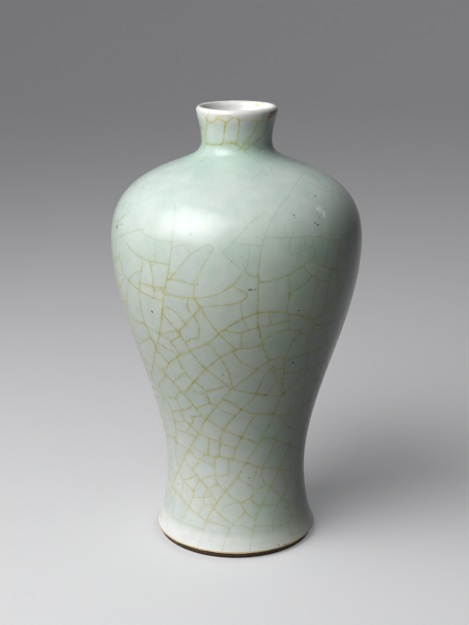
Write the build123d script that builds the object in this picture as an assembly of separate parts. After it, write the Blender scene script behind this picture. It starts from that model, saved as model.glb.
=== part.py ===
"""Meiping vase: thrown in three sections, luted with slip, glazed inside and out, bare at the foot."""
from build123d import *
import os
from math import cos, radians, sin

# Heights of the finished form, each measured from the ring below it
foot_edge_height = 3.2
foot_to_waist = 29.4
waist_to_belly = 108.3
belly_to_shoulder = 33.4
shoulder_to_neck = 10.7
neck_to_lip = 12.5
lip_to_crest = 2.5

# Radii of the finished form; the flares stand out from the ring beside them
waist_radius = 32.3
foot_flare = 5.2
belly_radius = 56.2
neck_radius = 15.6
shoulder_reach = 13.9
lip_flare = 2.3

# Slopes of the wall in degrees: the foot leans in, the shoulder lies back, the lip leans out
foot_lean = 27.7
shoulder_slope = 21.3
lip_lean = 13.9

# How full each stretch of the curve is at its lower and upper end, as shares of its chord
foot_fullness = (0.245, 0.365)
body_fullness = (0.328, 0.323)
shoulder_fullness = (0.420, 0.453)
hollow_fullness = (0.553, 0.321)
neck_fullness = (0.367, 0.320)
floor_fullness = (0.45, 0.55)
recess_fullness = (0.5, 0.5)

# Thickness of the clay wall and floor
waist_wall = 5.0
belly_wall = 4.2
neck_wall = 2.3
lip_wall = 2.2
floor_thickness = 5.6

# Thickness of the glaze coats: pooled in the neck hollow, thin over the lip
body_glaze = 0.6
neck_glaze = 0.8
lip_glaze = 0.3
inner_glaze = 0.35
base_glaze = 0.4

# Bare foot ring with its iron wash, and the glazed recess inside it
contact_inset = 1.6
foot_ring_width = 6.5
foot_inner_bevel = 0.8
base_glaze_edge = 1.3
recess_depth = 3.0
recess_round = 3.0
wash_thickness = 0.2

# Luted joints: bevelled edges stuck with slip that swells out as a bead inside
body_joint_drop = 44.0
neck_joint_drop = 2.2
joint_bevel = 25.0
slip_thickness = 0.8
slip_bead = 1.0

samples_per_stretch = 6


def on_wall(radius, level):
    """Point of the upright section plane, this far from the axis and above the table."""
    return Vector(radius, 0, level)


def leaning(angle):
    """Direction up the wall where it leans towards the axis by this angle."""
    return Vector(-sin(radians(angle)), 0, cos(radians(angle)))


def stretch(start, start_way, end, end_way, fullness):
    """Curve between two points that leaves and arrives along the given directions."""
    chord = (end - start).length
    first_handle = start + start_way * chord * fullness[0]
    second_handle = end - end_way * chord * fullness[1]
    return Bezier(start, first_handle, second_handle, end)


def turned(section):
    """Solid that this section sweeps in one turn about the axis."""
    return revolve(section, Axis.Z, 360)


# Rings of the finished surface, from the foot to the lip
foot_radius = waist_radius + foot_flare
shoulder_radius = neck_radius + shoulder_reach
lip_radius = neck_radius + lip_flare
waist_height = foot_edge_height + foot_to_waist
belly_height = waist_height + waist_to_belly
shoulder_height = belly_height + belly_to_shoulder
neck_height = shoulder_height + shoulder_to_neck
lip_height = neck_height + neck_to_lip
crest_height = lip_height + lip_to_crest

upright = leaning(0)
inward = Vector(-1, 0, 0)
ring_points = [
    on_wall(foot_radius, foot_edge_height),
    on_wall(waist_radius, waist_height),
    on_wall(belly_radius, belly_height),
    on_wall(shoulder_radius, shoulder_height),
    on_wall(neck_radius, neck_height),
    on_wall(lip_radius, lip_height),
]
ring_ways = [
    leaning(foot_lean),
    upright,
    upright,
    leaning(90 - shoulder_slope),
    upright,
    leaning(-lip_lean),
]
fullnesses = [foot_fullness, body_fullness, shoulder_fullness, hollow_fullness, neck_fullness]
waist_ring = 1

surface_curves = []
for index, fullness in enumerate(fullnesses):
    surface_curves.append(
        stretch(ring_points[index], ring_ways[index],
                ring_points[index + 1], ring_ways[index + 1], fullness)
    )


def sunk_point(curve, share, depth):
    """Point that lies this deep under the finished surface, part of the way along one curve."""
    way = curve.tangent_at(share)
    return curve.position_at(share) + Vector(-way.Z, 0, way.X) * depth


def sunk_line(depths, first_ring):
    """Line under the finished surface, at the depth given for each ring, up to the lip."""
    points = []
    for index in range(first_ring, len(surface_curves)):
        for step in range(samples_per_stretch):
            share = step / samples_per_stretch
            depth = depths[index] + (depths[index + 1] - depths[index]) * share
            points.append(sunk_point(surface_curves[index], share, depth))
    points.append(sunk_point(surface_curves[-1], 1, depths[-1]))
    return Spline(*points, tangents=[ring_ways[first_ring], ring_ways[-1]])


def lip_cap(outer_end, inner_end, level):
    """Rounded line over the lip, from its outer to its inner side."""
    crest = on_wall((outer_end.X + inner_end.X) / 2, level)
    return Spline(outer_end, crest, inner_end, tangents=[ring_ways[-1], inward, -ring_ways[-1]])


# Depths under the finished surface at the foot, waist, belly, shoulder, neck and lip
glaze_depths = [body_glaze, body_glaze, body_glaze, body_glaze, neck_glaze, lip_glaze]
walls = [waist_wall, waist_wall, belly_wall, belly_wall, neck_wall, lip_wall]
hollow_depths = [glaze + wall for glaze, wall in zip(glaze_depths, walls)]
cavity_depths = [depth + inner_glaze for depth in hollow_depths]

clay_line = sunk_line(glaze_depths, 0)
hollow_line = sunk_line(hollow_depths, waist_ring)
cavity_line = sunk_line(cavity_depths, waist_ring)
clay_foot = clay_line @ 0
clay_lip = clay_line @ 1
hollow_lip = hollow_line @ 1
cavity_lip = cavity_line @ 1
glaze_cap = lip_cap(ring_points[-1], cavity_lip, crest_height)
clay_cap = lip_cap(clay_lip, hollow_lip, crest_height - lip_glaze)

# Bare foot: the corners of the clay, and of the wash that covers it
contact_radius = foot_radius - contact_inset
ring_inner_radius = contact_radius - foot_ring_width
recess_radius = ring_inner_radius - foot_inner_bevel
recess_roof = recess_depth + base_glaze
edge_way = (ring_points[0] - clay_foot).normalized()
clay_corners = [
    clay_foot,
    on_wall(contact_radius - wash_thickness, wash_thickness),
    on_wall(ring_inner_radius + wash_thickness, wash_thickness),
    on_wall(recess_radius, base_glaze_edge),
]
wash_corners = [
    clay_foot + edge_way * wash_thickness,
    on_wall(contact_radius, 0),
    on_wall(ring_inner_radius, 0),
    on_wall(recess_radius - wash_thickness, base_glaze_edge),
]

# Recess under the floor, and the glaze that lines it
recess_end = on_wall(recess_radius - recess_round, recess_roof)
recess_curve = stretch(clay_corners[-1], upright, recess_end, inward, recess_fullness)
lining_start = on_wall(recess_radius - base_glaze, base_glaze_edge)
lining_end = on_wall(recess_radius - recess_round, recess_depth)
lining_curve = stretch(lining_start, upright, lining_end, inward, recess_fullness)

# Rounded floor of the hollow, on the clay and on the glaze
floor_height = recess_roof + floor_thickness
floor_middle = on_wall(0, floor_height)
floor_curve = stretch(floor_middle, -inward, hollow_line @ 0, upright, floor_fullness)
glazed_floor_middle = on_wall(0, floor_height + inner_glaze)
glazed_floor_curve = stretch(glazed_floor_middle, -inward, cavity_line @ 0, upright, floor_fullness)

# Sections of the hollow and of the clay body around it
mouth_middle = on_wall(0, cavity_lip.Z)
hollow_section = make_face([
    floor_curve,
    hollow_line,
    Line(hollow_lip, cavity_lip),
    Line(cavity_lip, mouth_middle),
    Line(mouth_middle, floor_middle),
])
cavity_section = make_face([
    glazed_floor_curve,
    cavity_line,
    Line(cavity_lip, mouth_middle),
    Line(mouth_middle, glazed_floor_middle),
])
recess_middle = on_wall(0, recess_roof)
clay_section = make_face([
    clay_line,
    clay_cap,
    hollow_line,
    floor_curve,
    Line(floor_middle, recess_middle),
    Line(recess_middle, recess_end),
    recess_curve,
    Polyline(*reversed(clay_corners)),
])


def joint_band(level):
    """Band of slip that crosses the wall where its outside is at this height, and falls inwards."""
    outside = clay_line.intersect(Plane.XY.offset(level)).vertices()[0]
    middle = on_wall(outside.X, level)
    along = leaning(joint_bevel - 90) * outside.X
    across = leaning(joint_bevel) * slip_thickness / 2
    return make_face(Polyline(
        middle - along - across,
        middle + along - across,
        middle + along + across,
        middle - along + across,
        close=True,
    ))


def round_bar(middle, radius):
    """Round section of a bead that runs round the hollow."""
    return Plane(origin=middle, x_dir=-inward, z_dir=(0, -1, 0)) * Circle(radius)


# Luted joints: the slip between the clay edges, with its bead inside under the glaze
slip_sections = []
inner_glaze_section = hollow_section - cavity_section
for level in (belly_height - body_joint_drop, neck_height - neck_joint_drop):
    band = joint_band(level)
    squeezed = clay_section & band
    inner_side = squeezed.edges().sort_by(lambda edge: edge.center().X)[0]
    bead = round_bar(inner_side.center(), slip_bead) & hollow_section
    glazed_bead = round_bar(inner_side.center(), slip_bead + inner_glaze) & hollow_section
    slip_sections.append(squeezed + bead)
    inner_glaze_section = inner_glaze_section + glazed_bead - bead
    clay_section = clay_section - band

lower_section, upper_section, neck_section = clay_section.faces().sort_by(Axis.Z)

outer_glaze_section = make_face([
    *surface_curves,
    glaze_cap,
    Line(cavity_lip, hollow_lip),
    clay_cap,
    clay_line,
    Line(clay_foot, ring_points[0]),
])
base_glaze_section = make_face([
    Line(clay_corners[-1], lining_start),
    lining_curve,
    Line(lining_end, on_wall(0, recess_depth)),
    Line(on_wall(0, recess_depth), recess_middle),
    Line(recess_middle, recess_end),
    recess_curve,
])
wash_section = make_face(Polyline(*clay_corners, *reversed(wash_corners), close=True))

sections = {
    "lower_body": lower_section,
    "body_luting_slip": slip_sections[0],
    "upper_body": upper_section,
    "neck_luting_slip": slip_sections[1],
    "neck_and_mouth": neck_section,
    "outer_glaze": outer_glaze_section,
    "inner_glaze": inner_glaze_section,
    "base_glaze": base_glaze_section,
    "foot_wash": wash_section,
}

os.makedirs("parts", exist_ok=True)
for name, section in sections.items():
    export_step(turned(section), f"parts/{name}.step")
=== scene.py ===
"""Dresses the meiping vase: crackled celadon glaze, pale mouth, bare brown foot, and a plain studio."""

import functools
import math
import random

import bmesh
import bpy
import numpy as np
from mathutils import Euler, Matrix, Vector, noise
from mathutils.kdtree import KDTree


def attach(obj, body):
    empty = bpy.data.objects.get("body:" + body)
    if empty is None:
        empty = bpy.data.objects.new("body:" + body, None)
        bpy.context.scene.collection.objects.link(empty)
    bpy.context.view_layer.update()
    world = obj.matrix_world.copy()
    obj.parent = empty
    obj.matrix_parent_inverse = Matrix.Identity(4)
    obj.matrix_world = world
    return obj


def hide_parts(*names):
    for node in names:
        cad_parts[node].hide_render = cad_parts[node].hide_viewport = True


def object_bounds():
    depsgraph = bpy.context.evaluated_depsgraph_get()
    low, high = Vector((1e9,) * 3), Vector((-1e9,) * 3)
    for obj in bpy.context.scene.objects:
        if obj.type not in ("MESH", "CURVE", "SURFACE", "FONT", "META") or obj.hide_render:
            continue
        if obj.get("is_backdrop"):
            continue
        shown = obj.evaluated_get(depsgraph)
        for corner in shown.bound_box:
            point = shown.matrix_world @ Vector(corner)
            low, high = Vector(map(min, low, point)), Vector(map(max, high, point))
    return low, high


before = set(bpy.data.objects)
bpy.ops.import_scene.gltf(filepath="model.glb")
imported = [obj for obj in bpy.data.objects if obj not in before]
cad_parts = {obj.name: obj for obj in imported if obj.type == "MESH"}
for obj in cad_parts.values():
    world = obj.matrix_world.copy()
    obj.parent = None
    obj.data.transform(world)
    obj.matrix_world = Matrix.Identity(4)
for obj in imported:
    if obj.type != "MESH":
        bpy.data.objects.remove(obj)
cad_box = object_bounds()

bl_info = {
    "name": "Meiping Vase",
    "version": (1, 0, 0),
    "blender": (4, 5, 0),
    "location": "3D View > Sidebar > Vase",
    "description": "Glazes, crackles and lights a turned ceramic vase around its packed solids",
    "category": "Object",
}

# Picture frame that the camera's values and the crack routes are read in
frame_width = 469
frame_height = 625
sensor_size = 36.0

millimetre = 0.001


def from_screen(red, green, blue):
    """Scene colour of a screen colour in steps of 255, by the usual curve of screens."""
    shares = (red / 255, green / 255, blue / 255)
    return tuple(s / 12.92 if s <= 0.04045 else ((s + 0.055) / 1.055) ** 2.4 for s in shares)


def colour(name, description, red, green, blue):
    """Colour property whose default is a screen colour."""
    return bpy.props.FloatVectorProperty(
        name=name, description=description, subtype="COLOR", size=3, min=0, max=1,
        default=from_screen(red, green, blue))


def length(name, description, default):
    """Length property in metres."""
    return bpy.props.FloatProperty(
        name=name, description=description, default=default, subtype="DISTANCE", unit="LENGTH", precision=5)


def power(name, description, default):
    """Power property of a lamp."""
    return bpy.props.FloatProperty(
        name=name, description=description, default=default, min=0, subtype="POWER", unit="POWER")


def angle(name, description, degrees):
    """Angle property whose default is given in degrees."""
    return bpy.props.FloatProperty(
        name=name, description=description, default=math.radians(degrees), subtype="ANGLE", unit="ROTATION")


class GlazeSettings(bpy.types.PropertyGroup):
    """Colours and crackle of the glaze."""

    body_colour: colour("Body", "Celadon glaze on the wall", 207, 215, 207)
    shoulder_colour: colour("Shoulder", "Bluer glaze on the shoulder", 205, 217, 211)
    pooled_colour: colour("Pooled", "Deep glaze in the hollow of the neck", 186, 207, 197)
    foot_colour: colour("Foot band", "Thin pale glaze above the foot", 237, 239, 237)
    lip_colour: colour("Lip", "Thin glaze on the lip", 231, 230, 227)
    stain_colour: colour(
        "Crack stain", "What the old stain by a crack leaves of the glaze's colour", 248, 240, 177)
    core_colour: colour(
        "Crack core", "What the dark middle of a crack leaves of the glaze's colour", 236, 207, 150)
    rust_colour: colour("Rust", "What an iron stain leaves of the glaze's colour", 212, 166, 98)
    pinhole_colour: colour("Pinholes", "What a pinhole leaves of the glaze's colour", 104, 90, 60)
    edge_colour: colour(
        "Lower edge", "What the amber edge over the foot leaves of the glaze's colour", 228, 196, 142)
    crack_width: length("Crack width", "Width of a stained crack", 0.0008)
    column_count: bpy.props.IntProperty(
        name="Columns", description="Faces round the wall before it cracks", default=184, min=48)
    row_step: length("Row step", "Longest face up the wall before it cracks", 0.0021)
    crack_seed: bpy.props.IntProperty(
        name="Crack seed", description="Chance run of the fine cracks", default=7)
    drip: length("Drip", "How far the glaze runs unevenly over the foot", 0.0004)


class FootSettings(bpy.types.PropertyGroup):
    """Colours of the bare foot, the clay and the mouth."""

    wash_colour: colour("Iron wash", "Dark brown wash on the foot ring", 74, 54, 41)
    worn_colour: colour("Worn wash", "Clay that shows through the wash", 142, 110, 82)
    clay_colour: colour("Clay", "Fired stoneware", 186, 170, 148)
    slip_colour: colour("Slip", "Fired slip in the joints", 198, 184, 162)
    mouth_colour: colour("Mouth", "Plain glaze inside the mouth", 224, 226, 224)
    base_colour: colour("Base", "Plain glaze under the foot", 214, 222, 214)


class StudioSettings(bpy.types.PropertyGroup):
    """Camera, light and floor."""

    camera_distance: length("Camera distance", "Level distance from the axis of the vase", 0.5496)
    camera_height: length("Camera height", "Height above the floor", 0.2707)
    camera_pitch: angle("Camera pitch", "How far the camera looks down", 16.713)
    camera_roll: angle("Camera roll", "How far the camera is turned about its own line of sight", 0.167)
    camera_lens: bpy.props.FloatProperty(
        name="Lens", description="Focal length", default=72.23, subtype="DISTANCE_CAMERA", unit="CAMERA")
    axis_offset: bpy.props.FloatProperty(
        name="Axis offset", description="Pixels from the picture's middle to the axis", default=1.81,
        subtype="PIXEL")
    key_azimuth: angle("Key azimuth", "Direction of the softbox, seen from above", -47)
    key_elevation: angle("Key elevation", "Direction of the softbox above the floor", 42)
    key_distance: length("Key distance", "Distance of the softbox from the vase", 0.8)
    key_width: length("Key width", "Width of the softbox", 0.9)
    key_height: length("Key height", "Height of the softbox", 0.78)
    key_spread: angle("Key spread", "How widely the softbox throws its light", 115)
    key_turn: angle("Key turn", "How far the softbox is turned past the right of the vase", -8)
    key_power: power("Key power", "Power of the softbox", 6.9)
    key_falloff: bpy.props.FloatProperty(
        name="Key falloff", description="How much dimmer the softbox is at its corners", default=0.6,
        min=0, max=1, subtype="FACTOR")
    fill_elevation: angle("Fill elevation", "Direction of the lamp behind the vase, above the floor", 35)
    fill_distance: length("Fill distance", "Distance of the fill from the vase", 0.8)
    fill_width: length("Fill width", "Width and height of the fill", 0.5)
    fill_power: power("Fill power", "Power of the fill", 2.0)
    room_light: bpy.props.FloatProperty(
        name="Room light", description="Strength of the even light from all sides", default=0.01, min=0)
    floor_colour: colour("Floor", "Pale floor and backdrop, as they are seen", 200, 200, 201)
    bounce_colour: colour("Bounce", "Floor as it throws light back on the vase", 84, 84, 82)
    backdrop_glow: colour("Backdrop glow", "Least brightness of the floor and backdrop", 116, 116, 118)


class Signal:
    """One value of a material. Arithmetic on it adds Math nodes."""

    def __init__(self, finish, socket):
        self.finish = finish
        self.socket = socket

    def math(self, operation, *values):
        """Joins values with one Math node."""
        return self.finish.node("ShaderNodeMath", {"operation": operation}, dict(enumerate(values)))

    def __add__(self, other):
        return self.math("ADD", self, other)

    def __radd__(self, other):
        return self.math("ADD", other, self)

    def __sub__(self, other):
        return self.math("SUBTRACT", self, other)

    def __rsub__(self, other):
        return self.math("SUBTRACT", other, self)

    def __mul__(self, other):
        return self.math("MULTIPLY", self, other)

    def __rmul__(self, other):
        return self.math("MULTIPLY", other, self)

    def __truediv__(self, other):
        return self.math("DIVIDE", self, other)

    def __rtruediv__(self, other):
        return self.math("DIVIDE", other, self)

    def most(self, other):
        """The larger of two values."""
        return self.math("MAXIMUM", self, other)


class Finish:
    """The look of a surface or a lamp in the making: its node tree, and the shader that ends it."""

    def __init__(self, owner, shader, constants):
        owner.use_nodes = True
        self.owner = owner
        self.tree = owner.node_tree
        self.shader = self.tree.nodes[shader]
        for socket, value in constants.items():
            self.feed(self.shader.inputs[socket], value)

    @classmethod
    def of_surface(cls, name, constants):
        """Finish of a new material."""
        return cls(bpy.data.materials.new(name), "Principled BSDF", constants)

    def feed(self, socket, value):
        """Sets a socket to a constant, or links a signal to it."""
        if isinstance(value, Signal):
            self.tree.links.new(value.socket, socket)
        elif socket.type == "RGBA" and len(value) == 3:
            socket.default_value = (*value, 1)
        else:
            socket.default_value = value

    def node(self, kind, settings, sockets, output=0):
        """Adds one node: its settings first, then the values or links of its sockets. Gives one output."""
        node = self.tree.nodes.new(kind)
        for name, value in settings.items():
            setattr(node, name, value)
        for name, value in sockets.items():
            self.feed(node.inputs[name], value)
        return Signal(self, node.outputs[output])

    def place(self):
        """Where on the object a point lies, in metres."""
        return self.node("ShaderNodeTexCoord", {}, {}, "Object")

    def height(self, place):
        """Height above the floor in millimetres."""
        return self.node("ShaderNodeSeparateXYZ", {}, {"Vector": place}, "Z") / millimetre

    def attribute(self, name):
        """Value that the mesh carries under this name."""
        return self.node("ShaderNodeAttribute", {"attribute_name": name}, {}, "Fac")

    def cloud(self, place, size, detail=2.0, roughness=0.5, output="Fac"):
        """Soft random pattern whose patches are about this size in millimetres."""
        scale = 1 / (size * millimetre)
        return self.node(
            "ShaderNodeTexNoise", {},
            {"Vector": place, "Scale": scale, "Detail": detail, "Roughness": roughness}, output)

    def ease(self, value, low, high):
        """Rises smoothly from 0 to 1 as the value goes from low to high."""
        return self.node(
            "ShaderNodeMapRange", {"interpolation_type": "SMOOTHSTEP"},
            {"Value": value, "From Min": low, "From Max": high})

    def mix(self, share, first, second):
        """Goes from the first colour to the second as the share goes from 0 to 1."""
        return self.node("ShaderNodeMix", {"data_type": "RGBA"}, {0: share, 6: first, 7: second}, 2)

    def tint(self, share, base, tone):
        """Multiplies a colour by a tone, as far as the share says."""
        settings = {"data_type": "RGBA", "blend_type": "MULTIPLY"}
        return self.node("ShaderNodeMix", settings, {0: share, 6: base, 7: tone}, 2)

    def tinted(self, share, base, tint):
        """Multiplies a colour by a tint, which is given as its strength and its tone."""
        strength, tone = tint
        return self.tint(share * strength, base, tone)

    def away(self, place, middle):
        """Distance of a place from a point."""
        return self.node("ShaderNodeVectorMath", {"operation": "DISTANCE"}, {0: place, 1: middle}, "Value")

    def spot(self, place, middle, inner, outer):
        """Round mark: 1 within the inner radius in millimetres, 0 beyond the outer one."""
        return self.ease(self.away(place, middle) / millimetre, outer, inner)

    def bump(self, height, depth, below=None):
        """Surface that is raised by the height signal, up to this depth in millimetres."""
        sockets = {"Height": height, "Distance": depth * millimetre}
        if below is not None:
            sockets["Normal"] = below
        return self.node("ShaderNodeBump", {}, sockets, "Normal")

    def end(self, links):
        """Links signals to the shader and returns the material or lamp."""
        for socket, signal in links.items():
            self.feed(self.shader.inputs[socket], signal)
        return self.owner


# Camera geometry: where a point of the vase lies in the picture

def camera_turn(studio):
    """Rotation of the camera."""
    down = math.pi / 2 - studio.camera_pitch
    return Euler((down, 0, 0)).to_matrix() @ Euler((0, 0, studio.camera_roll)).to_matrix()


class Viewpoint:
    """The photograph's view: turns points of the vase into pixels, and back."""

    # Depths in metres between which a line of sight is searched for the wall, and the steps of the search
    nearest = 0.4
    furthest = 0.7
    depth_steps = 4000

    def __init__(self, studio):
        self.place = Vector((0, -studio.camera_distance, studio.camera_height))
        self.into_view = camera_turn(studio).transposed()
        self.scale = studio.camera_lens / sensor_size * max(frame_width, frame_height)
        self.middle = frame_width / 2 + studio.axis_offset

    def pixel(self, point):
        """Pixel of a point, as (right, down)."""
        seen = self.into_view @ (point - self.place)
        return self.middle - self.scale * seen.x / seen.z, frame_height / 2 + self.scale * seen.y / seen.z

    def touch(self, pixel, wall):
        """Point of a turned wall that is seen at this pixel. The wall's line rises from foot to lip."""
        right, down = pixel
        seen = Vector(((right - self.middle) / self.scale, (frame_height / 2 - down) / self.scale, -1))
        way = np.array(self.into_view.transposed() @ seen)
        depths = np.linspace(self.nearest, self.furthest, self.depth_steps)
        points = np.array(self.place) + depths[:, None] * way
        reach = np.interp(points[:, 2], wall[:, 1], wall[:, 0])
        return Vector(points[np.argmax(np.hypot(points[:, 0], points[:, 1]) < reach)])


# Section of a turned solid: distance in metres under which points are one, and where it is cut, in radians

weld = 1e-6
section_angle = 0.3


def node_outline(node_name):
    """Closed section of a turned CAD node on one side of the axis: radius and height, in order."""
    cut = bmesh.new()
    cut.from_mesh(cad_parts[node_name].data)
    bmesh.ops.remove_doubles(cut, verts=cut.verts, dist=weld)
    side = Vector((-math.sin(section_angle), math.cos(section_angle), 0))
    outward = Vector((math.cos(section_angle), math.sin(section_angle), 0))
    bmesh.ops.bisect_plane(
        cut, geom=cut.verts[:] + cut.edges[:] + cut.faces[:], dist=weld / 10,
        plane_co=(0, 0, 0), plane_no=side, clear_inner=True, clear_outer=True)
    bmesh.ops.remove_doubles(cut, verts=cut.verts, dist=weld)
    start = max(cut.verts, key=lambda vert: vert.co.dot(outward))
    ordered = [start]
    edge = start.link_edges[0]
    while edge.other_vert(ordered[-1]) != start:
        ordered.append(edge.other_vert(ordered[-1]))
        edge = next(other for other in ordered[-1].link_edges if other != edge)
    outline = np.array([(vert.co.dot(outward), vert.co.z) for vert in ordered])
    cut.free()
    after = np.roll(outline, -1, axis=0)
    turning = np.sum(outline[:, 0] * after[:, 1] - after[:, 0] * outline[:, 1])
    return outline if turning > 0 else outline[::-1]


def drawn_finely(line, step):
    """Open line redrawn with points at one small step."""
    lengths = np.concatenate([[0], np.cumsum(np.linalg.norm(np.diff(line, axis=0), axis=1))])
    stations = np.linspace(0, lengths[-1], int(lengths[-1] / step) + 1)
    return np.stack([np.interp(stations, lengths, line[:, axis]) for axis in (0, 1)], axis=1)


def slopes(line, reach):
    """Direction of a finely drawn line at each point, in radians, evened out over its neighbours."""
    count = len(line)
    before = np.maximum(np.arange(count) - reach, 0)
    after = np.minimum(np.arange(count) + reach, count - 1)
    ways = line[after] - line[before]
    return np.unwrap(np.arctan2(ways[:, 1], ways[:, 0]))


def thinned(line, angles, longest, sharpest):
    """Points of a fine line that are no further apart than the longest step or the sharpest turn."""
    kept = [0]
    for index in range(1, len(line) - 1):
        step = np.linalg.norm(line[index] - line[kept[-1]])
        turn = abs(angles[index] - angles[kept[-1]])
        if step >= longest or turn >= sharpest:
            kept.append(index)
    kept.append(len(line) - 1)
    return line[kept]


def turned(outline, columns):
    """Mesh that a closed outline sweeps in one turn about the axis, with its faces in a fixed order."""
    shape = bmesh.new()
    rings = []
    for column in range(columns):
        turn = math.tau * column / columns
        rings.append([
            shape.verts.new((radius * math.sin(turn), -radius * math.cos(turn), height))
            for radius, height in outline])
    for ring, following in zip(rings, rings[1:] + rings[:1]):
        for low in range(len(ring)):
            high = (low + 1) % len(ring)
            shape.faces.new((ring[low], following[low], following[high], ring[high]))
    bmesh.ops.recalc_face_normals(shape, faces=shape.faces)
    shape.normal_update()
    return shape


# Cracks read off the photograph, in pixels right and down of its top left corner

long_cracks = [
    [(175, 201), (175, 209), (172, 242), (169, 268), (165, 290), (163, 304), (160, 333), (156, 348),
     (151, 377)],
    [(302, 175), (287, 197), (275, 214), (267, 231), (262, 248), (259, 270), (258, 314), (259, 330),
     (268, 361)],
    [(269, 361), (257, 370), (243, 381), (232, 389), (223, 399), (207, 418), (199, 433), (186, 455),
     (171, 487)],
    [(285, 358), (278, 358), (269, 361)],
    [(285, 358), (284, 370), (283, 384), (281, 396), (277, 405), (273, 418), (268, 427), (263, 437),
     (257, 447), (246, 463), (237, 478), (226, 491), (216, 504), (206, 521), (204, 530), (198, 546),
     (196, 552)],
    [(296, 430), (289, 447), (282, 463), (271, 487), (262, 504), (257, 516), (254, 528), (250, 549),
     (249, 556)],
    [(164, 372), (169, 363), (177, 357), (190, 351), (208, 343), (219, 334), (230, 326), (243, 319),
     (258, 313), (275, 312), (287, 313), (306, 317), (314, 318)],
    [(166, 294), (179, 297), (194, 298), (208, 297), (220, 293), (232, 285), (245, 271)],
    [(214, 249), (206, 261), (199, 274), (195, 285), (194, 298), (201, 308), (205, 316), (219, 334),
     (237, 350)],
    [(267, 211), (248, 225), (238, 237), (222, 253)],
    [(164, 316), (171, 324), (179, 333), (190, 351), (198, 361), (206, 369), (221, 381), (232, 389)],
    [(263, 346), (250, 348), (237, 350), (220, 358), (206, 369), (194, 382), (184, 394)],
    [(153, 362), (164, 373), (173, 382), (184, 394), (193, 405), (203, 416)],
    [(272, 368), (264, 377), (259, 387), (256, 394), (251, 401), (241, 410), (225, 428), (220, 442),
     (220, 457)],
    [(223, 399), (233, 404), (241, 409), (250, 413), (258, 414), (273, 414), (284, 416), (301, 408),
     (310, 399)],
    [(232, 389), (244, 392), (256, 394), (266, 395), (281, 397)],
    [(259, 282), (271, 281), (288, 275), (303, 266), (315, 256)],
    [(267, 237), (286, 238), (311, 236), (329, 239), (340, 240)],
    [(125, 241), (132, 251), (142, 258), (153, 262), (169, 265)],
    [(120, 258), (123, 272), (128, 280), (139, 290), (151, 297), (163, 301)],
]
upper_cracks = [
    [(142, 258), (142, 267), (139, 289), (140, 300), (142, 314), (145, 324)],
    [(150, 262), (152, 274), (154, 288), (154, 298)],
    [(141, 283), (153, 287), (166, 288)],
    [(128, 281), (127, 292), (127, 307), (128, 314), (136, 321), (145, 324)],
    [(145, 324), (151, 329), (159, 334)],
    [(145, 324), (151, 337), (156, 348)],
    [(139, 344), (151, 337)],
    [(170, 279), (181, 281), (194, 286)],
    [(173, 275), (186, 259), (191, 254), (208, 245), (214, 249)],
    [(172, 248), (184, 245), (190, 254)],
    [(232, 285), (238, 289), (243, 292), (249, 291)],
    [(248, 292), (245, 299), (238, 303), (228, 305), (201, 307)],
    [(245, 271), (251, 276), (258, 277)],
    [(188, 298), (187, 304), (189, 311), (192, 317)],
    [(165, 307), (175, 312), (186, 325)],
    [(201, 308), (192, 317), (178, 332)],
    [(160, 334), (170, 332), (177, 331)],
    [(171, 342), (179, 336)],
    [(196, 319), (199, 327), (199, 338)],
    [(186, 342), (193, 339), (200, 338)],
    [(312, 237), (314, 245), (315, 256)],
    [(315, 256), (319, 264), (329, 268), (347, 272)],
    [(288, 275), (290, 288), (287, 313)],
    [(303, 266), (312, 275), (319, 278)],
    [(291, 293), (303, 286), (312, 276)],
    [(319, 264), (318, 278), (314, 299), (308, 318), (299, 333)],
    [(314, 318), (327, 312), (336, 303), (344, 290)],
    [(306, 317), (312, 320), (314, 327), (311, 332)],
    [(311, 332), (305, 334), (299, 333)],
    [(262, 340), (275, 334), (286, 330), (299, 330)],
    [(226, 331), (238, 333), (247, 331), (259, 327)],
    [(259, 327), (272, 325), (290, 321)],
    [(241, 333), (242, 349)],
    [(313, 325), (330, 323), (343, 315)],
    [(311, 333), (328, 326)],
    [(329, 243), (327, 256), (325, 267)],
    [(340, 240), (337, 270), (338, 295)],
    [(332, 268), (328, 290), (325, 312)],
    [(349, 235), (347, 272), (336, 303)],
    [(134, 207), (127, 213), (122, 218), (119, 222), (116, 229)],
    [(116, 238), (116, 250), (115, 262), (116, 276), (119, 284), (124, 296), (128, 312)],
    [(121, 250), (119, 256), (115, 264)],
    [(356, 246), (354, 264), (353, 280), (350, 298), (346, 307), (335, 315)],
    [(338, 293), (329, 304), (325, 312)],
    [(238, 146), (257, 161), (263, 169), (250, 180)],
    [(269, 167), (286, 170), (303, 173)],
    [(271, 169), (275, 180)],
]
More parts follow.
